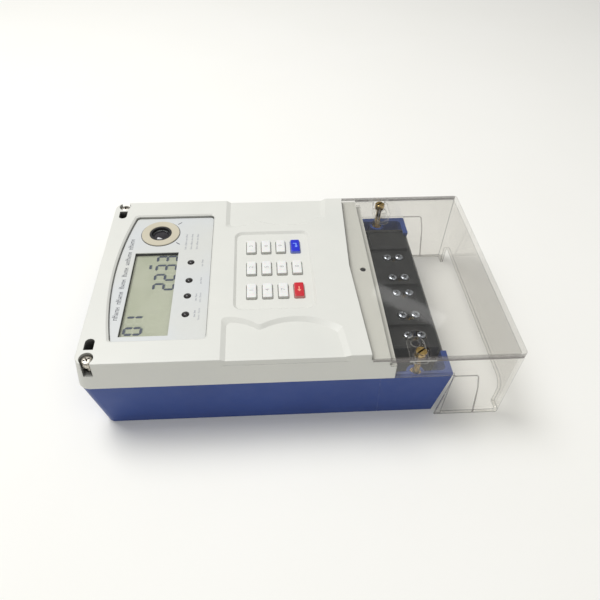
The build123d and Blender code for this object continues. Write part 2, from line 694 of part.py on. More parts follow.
def make_load_switch():
    """Latching switch that cuts the supply when the credit runs out."""
    case = block(SWITCH_X, SWITCH_Y, (MAIN_BOARD_TOP, SWITCH_TOP))
    case = chamfer(case.edges().filter_by(Axis.Z), 1.2)
    for y in SWITCH_GROOVE_YS:
        case -= block(widen(SWITCH_X, -6), (y - 0.6, y + 0.6), (SWITCH_TOP - 1.2, SWITCH_TOP + 1))
    return case


def bar_y(y, margin=0.0):
    """Sideways limits of the busbar in the row at y."""
    return (y - BAR_HALF[0] - margin, y + BAR_HALF[0] + margin)


def bar_z(margin=0.0):
    """Upright limits of every busbar."""
    return (CONDUCTOR_Z - BAR_HALF[1] - margin, CONDUCTOR_Z + BAR_HALF[1] + margin)


def make_busbars():
    """Copper bars from the terminal clamps to the load switch."""
    return Part() + [block((SWITCH_X[1], CLAMP_X[0]), bar_y(y), bar_z()) for y in TERMINAL_YS]


def make_current_transformers():
    """Boxed current transformers standing on the board round three of the bars."""
    group = Part()
    for y in TERMINAL_YS[:3]:
        box = rounded_block(COIL_BOX_X, (y - 8.8, y + 8.8), (MAIN_BOARD_TOP, COIL_BOX_TOP), 1.5)
        group += box - rod_x(y, CONDUCTOR_Z, COIL_BORE_R, widen(COIL_BOX_X, 1))
    return group


# ---------------------------------------------------------------- terminals
def make_terminal_block():
    """Black moulding: five clamp pockets open below, screw wells, barriers, one blank place."""
    side = (-BLOCK_Y, BLOCK_Y)
    body = block((BLOCK_X[0], 98), side, (BLOCK_BOTTOM, 46.4))
    body += block((97, BLOCK_X[1] - 3.4), side, (BLOCK_BOTTOM, 44))
    nose = Polygon((99, BLOCK_BOTTOM), (100, BLOCK_BOTTOM), (103.4, 42), (101.6, 44), (99, 44), align=None)
    body += Pos(0, BLOCK_Y, 0) * extrude(Plane.XZ * nose, 2 * BLOCK_Y)
    body += block((COVER_END_X + GAP, 98), side, (46, DECK_Z))
    for y in BARRIER_YS:
        body += block((COVER_END_X + GAP, 98), (y - 1.3, y + 1.3), (47, BARRIER_Z))
    blank_y = (BARRIER_YS[3] + 1, BARRIER_YS[4] - 1)
    body += block((68, 98), blank_y, (47, BARRIER_Z - 0.8))

    pocket_x = widen(CLAMP_X, 0.1)
    between = sum(TERMINAL_SCREW_XS) / 2
    for y in TERMINAL_YS:
        half = CLAMP_HALF_Y + 0.1
        body -= block(pocket_x, (y - half, y + half), (BLOCK_BOTTOM - 1, CLAMP_Z[1] + 0.1))
        for x in TERMINAL_SCREW_XS:
            body -= post(x, y, TERMINAL_WELL_R, (CLAMP_Z[1] - 1, 60))
        body -= block(widen((between, between), 1.6), (y - 4.6, y), (CLAMP_Z[1] - 1, 60))
        body -= rod_x(y, CONDUCTOR_Z, CONDUCTOR_R + 0.5, (95, 110))
        body -= block((50, 74), bar_y(y, 0.1), bar_z(0.1))
    return body


def make_terminal_clamps():
    """Brass cage for each conductor, drilled for two screws."""
    group = Part()
    for y in TERMINAL_YS:
        cage = block(CLAMP_X, (y - CLAMP_HALF_Y, y + CLAMP_HALF_Y), CLAMP_Z)
        cage -= rod_x(y, CONDUCTOR_Z, CONDUCTOR_R, (70, 100))
        for x in TERMINAL_SCREW_XS:
            cage -= post(x, y, 2.1 + FIT, (CONDUCTOR_Z, 50))
        group += cage
    return group


def make_terminal_screws():
    """Two clamping screws in each cage, backed off clear of the conductor."""
    group = Part()
    for y in TERMINAL_YS:
        for x in TERMINAL_SCREW_XS:
            group += screw(x, y, (45.8, 49.2), 3.4, 2.1, 38.4)
    return group


def make_terminal_cover():
    """Clear hood over the terminals; its side walls stop at the case, which stays bare."""
    plan = Polygon(
        (LID_APEX_X, 0),
        (LID_CORNER_X, -SIDE_Y),
        (TAIL_X, -SIDE_Y),
        (TAIL_X, SIDE_Y),
        (LID_CORNER_X, SIDE_Y),
        align=None,
    )
    hood = extrude(plan, LID_TOP_Z)
    tail = hood.edges().filter_by(Axis.Z).sort_by(Axis.X)[-2:]
    hood = fillet(tail, 3.0)
    rim = hood.faces().sort_by(Axis.Z)[-1].edges()
    hood = fillet(rim, LID_RIM_R)
    inside_z = (-1, LID_TOP_Z - LID_WALL)
    inside_x = (30, TAIL_X - LID_WALL)
    hood -= rounded_block(inside_x, (-LID_INNER_Y, LID_INNER_Y), inside_z, 1.5)
    hood -= both_sides(case_profile())
    hood -= both_sides(block((30, BASE_TOP_X[1] + 2 * GAP), (80, LID_LIP_Y), (-1, PARTING_Z + GAP)))

    # cable opening across the end wall, with rounded upper corners
    slot = Pos(TAIL_X, 0, 0) * Rot(0, 90, 0) * Rot(0, 0, 90) * RectangleRounded(
        2 * CABLE_SLOT_Y, 2 * CABLE_SLOT_Z, 8.0
    )
    hood -= extrude(slot, 20, both=True)

    # knock-out outline on both side walls
    hood -= both_sides(knockout_groove())

    # sealing collars: obround pad with a seat for the screw and a hole for the wire
    middle = (SEAL_SCREW_Y + SEAL_WIRE_Y) / 2
    reach = SEAL_SCREW_Y - SEAL_WIRE_Y
    pad = Pos(SEAL_X, middle, SEAL_COLLAR_Z) * Rot(0, 0, 90) * SlotCenterToCenter(reach, 12.6)
    collar = extrude(pad, LID_TOP_Z - LID_WALL + 0.5 - SEAL_COLLAR_Z)
    collar &= block((50, 100), (0, SIDE_Y - 0.5), (0, 100))
    hood += both_sides(collar)
    hole = post(SEAL_X, SEAL_SCREW_Y, 4.5, (SEAL_SEAT_Z, 80))
    hole += post(SEAL_X, SEAL_SCREW_Y, 2.5, (50, 80))
    hole += post(SEAL_X, SEAL_WIRE_Y, 3.0, (50, 80))
    return hood - both_sides(hole)


def case_profile():
    """Side view of the case, cut out of the terminal cover's side wall."""
    step, end = COVER_END_X + GAP, LEDGE_END_X + GAP
    low, middle, high = PARTING_Z + GAP, LIP_Z + GAP, LID_TOP_Z - LID_WALL
    base_bottom, base_top = BASE_BOTTOM_X[1] + 2 * GAP, BASE_TOP_X[1] + 2 * GAP
    outline = [(30, -1), (base_bottom, -1), (base_bottom, 0), (base_top, low), (step, low)]
    outline += [(step, middle), (end, middle), (end, high), (30, high)]
    return Pos(0, SIDE_Y + 1, 0) * extrude(Plane.XZ * Polygon(*outline, align=None), LID_WALL + 2)


def knockout_groove():
    """Shallow outline on the side wall of a panel that can be broken out for a cable."""
    outline = Polygon((90, -3), (128.9, -3), (124.3, 32), (120.8, 47), (90, 47), align=None)
    outline = fillet(outline.vertices().sort_by_distance((120.8, 47))[0], 3.0)
    line = outline - offset(outline, -0.7)
    return Pos(0, SIDE_Y + 1, 0) * extrude(Plane.XZ * line, 1.4)


def make_seal_screw(side):
    """Captive brass screw of the terminal cover; side is -1 or 1."""
    y = side * SEAL_SCREW_Y
    body = post(SEAL_X, y, 4.0, (SEAL_SEAT_Z + 0.1, 67.0))
    body = chamfer(body.faces().sort_by(Axis.Z)[-1].edges(), 0.5)
    body += post(SEAL_X, y, 2.2, (33, SEAL_SEAT_Z + 0.2))
    body -= block((SEAL_X - 5, SEAL_X + 5), (y - 0.6, y + 0.6), (65.4, 70))
    return body - rod_x(y, 63.8, 0.9, (SEAL_X - 6, SEAL_X + 6))


def make_seal_inserts():
    """Threaded brass bushes in the base for the captive screws."""
    bush = post(SEAL_X, SEAL_SCREW_Y, 4.0, (32, CLAMP_Z[1] - 0.4))
    bush -= post(SEAL_X, SEAL_SCREW_Y, 2.2 + FIT, (30, 50))
    return both_sides(bush)


# ---------------------------------------------------------------- wall hanger
def bracket_screw_places():
    """Centres of the two screws that hold the hanging plate."""
    return [(x, 0.0) for x in (HANGER_X[0] - 1.0, HANGER_X[1] + 1.0)]


def make_hanging_bracket():
    """Steel plate in the back with a keyhole for the upper wall screw."""
    x = (HANGER_X[0] - 2.9, HANGER_X[1] + 2.9)
    plate = rounded_block(x, (0.1 - HANGER_Y, HANGER_Y - 0.1), (0, HANGER_THICK), 1.5)
    middle = (HANGER_X[0] + HANGER_X[1]) / 2
    plate -= post(middle + 3, 0, 5.0, (-1, 3))
    plate -= block((middle - 6, middle + 3), (-2.75, 2.75), (-1, 3))
    plate -= post(middle - 6, 0, 2.75, (-1, 3))
    for px, py in bracket_screw_places():
        plate -= post(px, py, BRACKET_SHANK_R + FIT, (-1, 3))
        plate -= post(px, py, BRACKET_HEAD_R + FIT, (-1, BRACKET_SINK))
    return plate


def make_bracket_screws():
    """Screws of the hanging plate, their slotted heads sunk flush with the back."""
    group = Part()
    for x, y in bracket_screw_places():
        group += post(x, y, BRACKET_HEAD_R, (0.1, BRACKET_SINK))
        group += post(x, y, BRACKET_SHANK_R, (BRACKET_SINK - 0.1, 7))
        group -= block((x - 0.3, x + 0.3), (y - 3, y + 3), (-1, 0.4))
    return group


# ---------------------------------------------------------------- write the subparts
def all_parts():
    """Name and shape of every subpart."""
    parts = {
        "base": make_base(),
        "top_cover": make_top_cover(),
        "cover_gasket": make_cover_gasket(),
        "cover_screws": make_cover_screws(),
        "nameplate": make_nameplate(),
        "display_window": make_display_window(),
        "window_gasket": make_window_gasket(),
        "lcd_glass": make_lcd_glass(),
        "lcd_backlight": make_lcd_backlight(),
        "lcd_frame": make_lcd_frame(),
        "optical_port_ring": make_optical_port_ring(),
        "optical_port_barrel": make_optical_port_barrel(),
        "optical_port_lens": make_optical_port_lens(),
        "infrared_diodes": make_infrared_diodes(),
        "status_leds": make_status_leds(),
        "display_pcb": make_display_pcb(),
        "display_pcb_screws": make_display_pcb_screws(),
        "key_switches": make_key_switches(),
        "tamper_plunger": make_tamper_plunger(),
        "tamper_switch": make_tamper_switch(),
        "main_pcb": make_main_pcb(),
        "main_pcb_screws": make_main_pcb_screws(),
        "ribbon_connectors": make_ribbon_connectors(),
        "ribbon_cable": make_ribbon_cable(),
        "transformer_core": make_transformer_core(),
        "transformer_winding": make_transformer_winding(),
        "capacitors": make_capacitors(),
        "backup_battery": make_backup_battery(),
        "battery_clips": make_battery_clips(),
        "supercapacitor": make_supercapacitor(),
        "buzzer": make_buzzer(),
        "varistors": make_varistors(),
        "meter_chips": make_meter_chips(),
        "load_switch": make_load_switch(),
        "current_transformers": make_current_transformers(),
        "busbars": make_busbars(),
        "terminal_block": make_terminal_block(),
        "terminal_clamps": make_terminal_clamps(),
        "terminal_screws": make_terminal_screws(),
        "terminal_cover": make_terminal_cover(),
        "seal_screw_near": make_seal_screw(-1),
        "seal_screw_far": make_seal_screw(1),
        "seal_inserts": make_seal_inserts(),
        "hanging_bracket": make_hanging_bracket(),
        "bracket_screws": make_bracket_screws(),
    }
    for name, x, y in key_places():
        parts[name] = make_key(x, y)
    return parts


os.makedirs("parts", exist_ok=True)
for node, shape in all_parts().items():
    export_step(shape, f"parts/{node}.step")
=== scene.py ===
import json
import math

import bmesh
import bpy
from mathutils import Matrix, Vector


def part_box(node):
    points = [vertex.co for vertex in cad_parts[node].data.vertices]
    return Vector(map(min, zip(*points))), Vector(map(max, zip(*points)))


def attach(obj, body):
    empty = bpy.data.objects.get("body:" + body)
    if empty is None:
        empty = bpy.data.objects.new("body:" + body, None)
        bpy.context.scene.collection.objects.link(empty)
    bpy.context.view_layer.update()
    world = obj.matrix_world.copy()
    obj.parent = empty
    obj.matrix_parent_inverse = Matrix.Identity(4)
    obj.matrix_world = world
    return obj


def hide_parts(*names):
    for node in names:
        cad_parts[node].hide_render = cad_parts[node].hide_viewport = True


# Looks of the prepaid keypad meter, built round its CAD model. Plain numbers are millimetres in the
# CAD's frame, +Z out of the front and +X towards the terminals, and MM turns them into metres.
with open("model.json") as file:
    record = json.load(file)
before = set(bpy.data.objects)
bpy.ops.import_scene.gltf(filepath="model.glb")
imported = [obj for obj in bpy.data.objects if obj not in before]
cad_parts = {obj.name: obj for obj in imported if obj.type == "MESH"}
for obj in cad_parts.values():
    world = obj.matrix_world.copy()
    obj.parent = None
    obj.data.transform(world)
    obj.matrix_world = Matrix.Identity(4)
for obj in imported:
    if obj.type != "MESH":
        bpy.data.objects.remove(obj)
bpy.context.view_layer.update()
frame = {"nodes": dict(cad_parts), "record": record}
MM = 0.001

# Five pairs of terminal screws. A head is its radius and height; a shank, its radius and pitch.
TERMINAL_YS = (-51.7, -32.0, -8.9, 8.4, 32.4)
TERMINAL_XS = (79.5, 89.1)
TERMINAL_HEAD, TERMINAL_SHANK = (3.4, 3.4), (2.1, 0.8)
COVER_HEAD, COVER_SHANK = (4.0, 4.6), (1.95, 1.3)
KEY_CAP = (7.4, 14.6)
KEY_FLANGE = (10.0, 16.8)
INK_THICK = 0.02
AXIS_X, AXIS_Y, AXIS_Z = 0, 1, 2


def node_box(node):
    """Lowest and highest corner of a CAD node, in millimetres."""
    low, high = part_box(node)
    return low / MM, high / MM


def centre(node):
    """Middle of a CAD node as seen from the front, in millimetres."""
    low, high = node_box(node)
    return (low.x + high.x) / 2, (low.y + high.y) / 2


# ---------------------------------------------------------------- materials
def linear(red, green, blue):
    """Linear colour, with its alpha, of an 8-bit display colour."""
    shares = [value / 255 for value in (red, green, blue)]
    return tuple(s / 12.92 if s < 0.04 else ((s + 0.055) / 1.055) ** 2.4 for s in shares) + (1.0,)


class Finish:
    """A material: one Principled shader and the object-space patterns that drive it."""

    def __init__(self, name, colour, roughness, sockets=None):
        self.material = bpy.data.materials.new(name)
        self.material.use_nodes = True
        self.tree = self.material.node_tree
        self.shader = self.tree.nodes["Principled BSDF"]
        self.colour = linear(*colour)
        self.colour_socket = None
        self.normal_socket = None
        self.shader.inputs["Base Color"].default_value = self.colour
        self.shader.inputs["Roughness"].default_value = roughness
        for socket, value in (sockets or {}).items():
            self.shader.inputs[socket].default_value = value

    def add(self, kind, settings=None, **inputs):
        """A new node; an input takes a plain value or another node's socket."""
        node = self.tree.nodes.new("ShaderNode" + kind)
        for key, value in (settings or {}).items():
            setattr(node, key, value)
        for key, value in inputs.items():
            self.join(value, node.inputs[key])
        return node

    def join(self, value, socket):
        """Sets a socket to a plain value or links another node's socket to it."""
        if isinstance(value, bpy.types.NodeSocket):
            self.tree.links.new(value, socket)
        else:
            socket.default_value = value

    def place(self, stretch=(1, 1, 1)):
        """Object coordinates, scaled by stretch along each axis."""
        spot = self.add("TexCoord").outputs["Object"]
        return self.add("Mapping", Vector=spot, Scale=stretch).outputs["Vector"]

    def noise(self, grain, detail=2.0, stretch=(1, 1, 1)):
        """Cloudy pattern from 0 to 1 whose features are about grain millimetres across."""
        scale = 1 / (grain * MM)
        node = self.add("TexNoise", Vector=self.place(stretch), Scale=scale, Detail=detail)
        return node.outputs["Fac"]

    def cells(self, grain):
        """Distance pattern of scattered cells about grain millimetres across."""
        node = self.add("TexVoronoi", Vector=self.place(), Scale=1 / (grain * MM))
        return node.outputs["Distance"]

    def height(self, axis, low, high):
        """0 at low to 1 at high along one object axis, in millimetres."""
        parts = self.add("SeparateXYZ", Vector=self.place()).outputs
        return self.spread(parts[axis], low * MM, high * MM, 0, 1)

    def spread(self, value, low, high, to_low, to_high):
        """value moved from one range to another and clamped there."""
        node = self.add("MapRange", Value=value)
        limits = {"From Min": low, "From Max": high, "To Min": to_low, "To Max": to_high}
        for key, limit in limits.items():
            node.inputs[key].default_value = limit
        return node.outputs["Result"]

    def math(self, operation, first, *others):
        """One arithmetic operation, carried along a row of values."""
        for other in others:
            node = self.add("Math", {"operation": operation})
            self.join(first, node.inputs[0])
            self.join(other, node.inputs[1])
            first = node.outputs[0]
        return first

    def within(self, axis, low, high, soft=0.06):
        """1 between low and high along one object axis, in millimetres, and 0 outside."""
        risen = self.height(axis, low, low + soft)
        return self.math("SUBTRACT", risen, self.height(axis, high - soft, high))

    def blend(self, share, under, over):
        """Lays one shader over another by a share."""
        node = self.add("MixShader", Fac=share)
        self.join(under.outputs[0], node.inputs[1])
        self.join(over.outputs[0], node.inputs[2])
        return node

    def mix(self, share, under, over):
        """Colour between two colours by a share. A Mix node numbers its colour sockets 6, 7 and 2."""
        node = self.add("Mix", {"data_type": "RGBA"})
        for index, value in ((0, share), (6, under), (7, over)):
            self.join(value, node.inputs[index])
        return node.outputs[2]

    def tint(self, share, colour):
        """Mixes colour over what is there by a pattern's share."""
        self.colour_socket = self.mix(share, self.colour_socket or self.colour, linear(*colour))
        self.join(self.colour_socket, self.shader.inputs["Base Color"])
        return self

    def cloud(self, grain, detail, span, share, colour):
        """Mixes colour over in clouds, from nothing at the span's low end to share at its high end."""
        return self.tint(self.spread(self.noise(grain, detail), *span, 0, share), colour)

    def shine(self, pattern, low, high):
        """Roughness between low and high by a pattern's middle part."""
        value = self.spread(pattern, 0.3, 0.7, low, high)
        self.join(value, self.shader.inputs["Roughness"])
        return self

    def bump(self, pattern, depth, strength=1.0):
        """Raises the surface by a pattern, depth in millimetres."""
        node = self.add("Bump", Height=pattern, Strength=strength, Distance=depth * MM)
        if self.normal_socket:
            self.join(self.normal_socket, node.inputs["Normal"])
        self.normal_socket = node.outputs["Normal"]
        self.join(self.normal_socket, self.shader.inputs["Normal"])
        return self

    def edges(self, radius, low, high):
        """low on flat faces to high on edges, by comparing a rounded normal with the true one."""
        flat_cosine, edge_cosine = 0.995, 0.88
        soft = self.add("Bevel", Radius=radius * MM).outputs["Normal"]
        hard = self.add("NewGeometry").outputs["Normal"]
        same = self.add("VectorMath", {"operation": "DOT_PRODUCT"})
        self.join(soft, same.inputs[0])
        self.join(hard, same.inputs[1])
        return self.spread(same.outputs["Value"], flat_cosine, edge_cosine, low, high)

    def crevice_shade(self, reach, colour, share):
        """Painted shade: darkens the colour where surfaces crowd together, by ambient occlusion within
        reach millimetres.
        """
        crowded, free = 0.22, 0.85
        settings = {"samples": 8, "only_local": True}
        sky = self.add("AmbientOcclusion", settings, Distance=reach * MM).outputs["AO"]
        return self.tint(self.spread(sky, crowded, free, share, 0), colour)

    def worn_edges(self, radius, colour, share):
        """Lightens the outer edges in patches."""
        patchy = self.spread(self.noise(3.0, 4), 0.35, 0.6, 0.3, 1)
        return self.tint(self.math("MULTIPLY", self.edges(radius, 0, share), patchy), colour)


def moulded(name, colour, roughness, grain=0.35, depth=0.012, cloud=None):
    """Injection-moulded plastic: spark-eroded grain, faint flow clouds and uneven gloss."""
    finish = Finish(name, colour, roughness)
    if cloud:
        finish.cloud(45, 3, (0.35, 0.7), 0.5, cloud)
    finish.shine(finish.noise(9, 4), roughness - 0.05, roughness + 0.06)
    finish.bump(finish.noise(grain, 2), depth)
    finish.bump(finish.noise(28, 2), depth * 4, 0.4)
    return finish


def case_grey():
    """Light grey plastic of the front cover, with pale worn edges and painted shade in its hollows."""
    finish = moulded("case_grey_plastic", (226, 226, 219), 0.42, 0.45, 0.02, (220, 221, 215))
    finish.worn_edges(0.6, (236, 236, 231), 0.6)
    finish.cloud(0.5, 1, (0.62, 0.75), 0.12, (190, 188, 178))
    # Painted shade: dark colour (40, 39, 37) where the cover's surfaces crowd together, in its wells,
    # recesses and grooves.
    return finish.crevice_shade(12.0, (40, 39, 37), 0.95)


def case_blue():
    """Blue plastic of the base, paler along its edges."""
    finish = moulded("case_blue_plastic", (46, 74, 145), 0.38, 0.45, 0.02, (40, 65, 132))
    finish.shader.inputs["Specular IOR Level"].default_value = 0.35
    return finish.worn_edges(0.6, (104, 122, 186), 0.7)


def metal(name, colour, roughness, grime):
    """Plated or bare metal with fine tool lines, cloudy passivation, grime in patches and painted
    shade in its hollows.
    """
    finish = Finish(name, colour, roughness, {"Metallic": 1.0})
    finish.cloud(1.6, 5, (0.45, 0.72), 0.75, grime)
    finish.shine(finish.noise(0.8, 4), roughness - 0.08, roughness + 0.12)
    finish.bump(finish.noise(0.18, 2, (1, 1, 9)), 0.01)
    # Painted shade: near-black colour (22, 21, 20) in hollows such as the screws' cross recesses.
    return finish.crevice_shade(2.8, (22, 21, 20), 0.95)


def side_band(finish, inner, outer):
    """1 on the lid's side walls where they lie between two depths below their outer faces."""
    low, high = LID_SIDE - inner, LID_SIDE - outer
    near, far = finish.within(AXIS_Y, -high, -low), finish.within(AXIS_Y, low, high)
    return finish.math("MAXIMUM", far, near)


def plate_edge_shade(finish):
    """Painted shade where the lid's top plate is seen end-on through the side wall, darkest at its
    foot.
    """
    foot = LID_TOP - 1.6 * LID_PLATE
    at_foot, at_top = 0.92, 0.45
    fade = finish.spread(finish.height(AXIS_Z, foot, LID_TOP), 0, 1, at_foot, at_top)
    depth = finish.within(AXIS_Z, foot, LID_TOP - LID_SKIN)
    length = finish.within(AXIS_X, LID_START, LID_END)
    return finish.math("MULTIPLY", depth, side_band(finish, *FACE_DEPTHS), fade, length)


def knockout_line(finish):
    """Floor of the groove round the break-out panel on both side walls of the lid."""
    strength = 0.6
    return finish.math("MULTIPLY", side_band(finish, *GROOVE_DEPTHS), strength)


def collar_zone(finish):
    """1 at the lid's sealing collars, which stand below its top plate."""
    below = finish.within(AXIS_Z, LID_TOP - COLLAR_DROP, LID_TOP - LID_PLATE - LID_SKIN)
    around = finish.within(AXIS_X, SEAL_X - COLLAR_REACH, SEAL_X + COLLAR_REACH)
    return finish.math("MULTIPLY", below, around)


def rim_shade_and_highlight(finish):
    """Painted edge line of the lid, strongest at its collars and low down, where the cable opening is
    cut; painted shade on the edges, a painted highlight on the collars.
    """
    low_down, high_up, on_collars = 0.75, 0.4, 0.8
    rise = finish.height(AXIS_Z, CABLE_TOP, CABLE_TOP + 2)
    share = finish.spread(rise, 0, 1, low_down, high_up)
    collars = finish.math("MULTIPLY", collar_zone(finish), on_collars)
    share = finish.math("MAXIMUM", share, collars)
    return finish.math("MULTIPLY", finish.edges(1.2, 0, 1), share)


def haze_and_edge_paint_shader(finish, marks):
    """Cloudy plastic of the scuffs, with painted shade where an edge mark is strong and a painted
    highlight on the collars.
    """
    milky = finish.add("BsdfPrincipled", Roughness=0.5)
    strong = finish.spread(marks, 0, 0.3, 0, 1)
    dark = finish.math("SUBTRACT", strong, collar_zone(finish))
    # Pale (190, 188, 184): the scuffs' haze and the collars' painted highlight; dark (88, 80, 79):
    # painted shade on the lid's edges and end-on plate, and the break-out groove's line.
    shade = finish.mix(dark, linear(190, 188, 184), linear(88, 80, 79))
    finish.join(shade, milky.inputs["Base Color"])
    return milky


def clear_polycarbonate(name, tint, haze):
    """Clear moulded wall: sight and lamps pass each face, tinted, and it mirrors more at a slant.
    Painted shade darkens its edges and its top plate seen end-on, and a painted highlight lightens its
    collar edges.
    """
    straight_on, at_a_slant = 0.038, 1.0
    finish = Finish(name, (255, 255, 255), 0.05, {"Metallic": 1.0})
    finish.shine(finish.noise(22, 5, (1, 1, 0.4)), 0.03, 0.08)
    finish.bump(finish.noise(38, 1), 0.05, 0.5)
    through = finish.add("BsdfTransparent", Color=(*tint, 1))
    scuffs = finish.spread(finish.noise(11, 5), 0.5, 0.8, haze, 3 * haze)
    # Marks for painted shade on the edges and end-on plate, painted highlight on the collars, and the
    # break-out groove's line.
    marks = finish.math("MAXIMUM", rim_shade_and_highlight(finish), plate_edge_shade(finish), knockout_line(finish))
    haze_and_edge_paint = finish.math("MAXIMUM", scuffs, marks)
    sheet = finish.blend(haze_and_edge_paint, through, haze_and_edge_paint_shader(finish, marks))
    facing = finish.add("LayerWeight", Blend=0.5).outputs["Facing"]
    mirror = finish.spread(finish.math("POWER", facing, 4.0), 0, 1, straight_on, at_a_slant)
    both = finish.blend(mirror, sheet, finish.shader)
    finish.join(both.outputs[0], finish.tree.nodes["Material Output"].inputs["Surface"])
    return finish


def printed_panel():
    """Printed sheet under a clear gloss layer, with a faint cool cast across it."""
    sockets = {"Coat Weight": 0.6, "Coat Roughness": 0.08}
    finish = Finish("printed_sheet", (217, 218, 213), 0.36, sockets)
    finish.cloud(60, 2, (0.4, 0.65), 0.4, (209, 215, 224))
    finish.shine(finish.noise(3, 3), 0.3, 0.42)
    return finish.bump(finish.noise(0.25, 1), 0.004)


def lcd_cell():
    """Grey-green reflective cell with the fine speckle of its reflector."""
    sockets = {"Coat Weight": 0.5, "Coat Roughness": 0.12}
    finish = Finish("lcd_reflector", (206, 211, 192), 0.45, sockets)
    finish.cloud(26, 2, (0.35, 0.7), 0.8, (188, 195, 170))
    finish.cloud(0.22, 2, (0.4, 0.7), 0.35, (216, 221, 204))
    return finish.bump(finish.noise(0.2, 1), 0.003)


def circuit_board():
    """Green solder mask with raised copper runs under it."""
    finish = Finish("solder_mask", (22, 84, 46), 0.32, {"Coat Weight": 0.3})
    runs = finish.add("TexBrick", Vector=finish.place((1, 1, 0)), Scale=90.0)
    finish.tint(finish.spread(runs.outputs["Fac"], 0, 1, 0, 0.7), (34, 116, 62))
    return finish.bump(runs.outputs["Fac"], 0.04)


def speckled(name, colour, roughness, fleck):
    """Filled material with small flecks."""
    finish = moulded(name, colour, roughness)
    return finish.tint(finish.spread(finish.cells(0.6), 0.05, 0.3, 0.5, 0), fleck)


def terminal_black():
    """Glass-filled black moulding: dull, flecked and scuffed along its edges."""
    finish = speckled("terminal_moulding", (16, 18, 19), 0.42, (34, 38, 39))
    finish.cloud(14, 4, (0.5, 0.75), 0.5, (36, 40, 40))
    return finish.worn_edges(0.4, (112, 118, 116), 0.8)


def key_rubber(name, crown, skirt):
    """Key cap: crown colour on top, skirt colour below it; a white key's darker skirt is painted shade
    on its sides.
    """
    crown_foot, crown_edge = KEY_TOP - 0.62, KEY_TOP - 0.42
    sockets = {"Coat Weight": 0.25, "Coat Roughness": 0.2, "Subsurface Weight": 0.05}
    finish = Finish(name, skirt, 0.4, {**sockets, "Subsurface Scale": 0.001})
    # Crown colour above the crown's foot; below it the skirt colour, which on white keys is painted
    # shade on the sides.
    finish.tint(finish.height(AXIS_Z, crown_foot, crown_edge), crown)
    finish.cloud(4, 3, (0.5, 0.8), 0.12, (120, 116, 108))
    finish.shine(finish.noise(2.5, 3), 0.3, 0.46)
    return finish.bump(finish.noise(0.3, 2), 0.008)


def ink(name, colour, roughness=0.5):
    """Screen-printed ink, slightly broken up; the same flat colour also serves the painted shadows."""
    finish = Finish(name, colour, roughness)
    lighter = tuple(min(255, value + 26) for value in colour)
    finish.cloud(0.5, 3, (0.5, 0.75), 0.8, lighter)
    return finish.bump(finish.noise(0.15, 1), 0.004)


def glossy(name, colour, roughness, second, grain=6.0, sockets=None):
    """Smooth resin, sleeve or tape with a cloudy second colour."""
    values = {"Coat Weight": 0.5, "Coat Roughness": 0.08}
    values.update(sockets or {})
    finish = Finish(name, colour, roughness, values)
    finish.cloud(grain, 3, (0.4, 0.7), 0.7, second)
    return finish.bump(finish.noise(grain / 3, 2), 0.02)


# Places the patterns above refer to. The lid is the clear terminal cover: its plate's thickness,
# a sliver left out at a face, the depths below the side wall's outer face at which that face and
# the groove's floor are found, and the reach of its collars below its top and round the screws.
KEY_TOP = node_box("key_5")[1].z
LID_LOW, LID_HIGH = node_box("terminal_cover")
LID_START, LID_END, LID_SIDE, LID_TOP = LID_LOW.x, LID_HIGH.x, LID_HIGH.y, LID_HIGH.z
LID_PLATE, LID_SKIN, CABLE_TOP = 2.6, 0.05, 23.0
FACE_DEPTHS, GROOVE_DEPTHS = (0.3, -0.1), (0.55, 0.25)
COLLAR_DROP, COLLAR_REACH = 10.5, 9.0
SEAL_X = centre("seal_screw_near")[0]

# Crown and skirt colour of each kind of key. The white key's grey skirt is painted shade on its sides;
# the blue and red keys' paler skirts are their shells.
KEY_WHITE = ((238, 238, 235), (196, 196, 190))
KEY_BLUE = ((12, 34, 206), (112, 128, 214))
KEY_RED = ((206, 28, 46), (214, 138, 134))

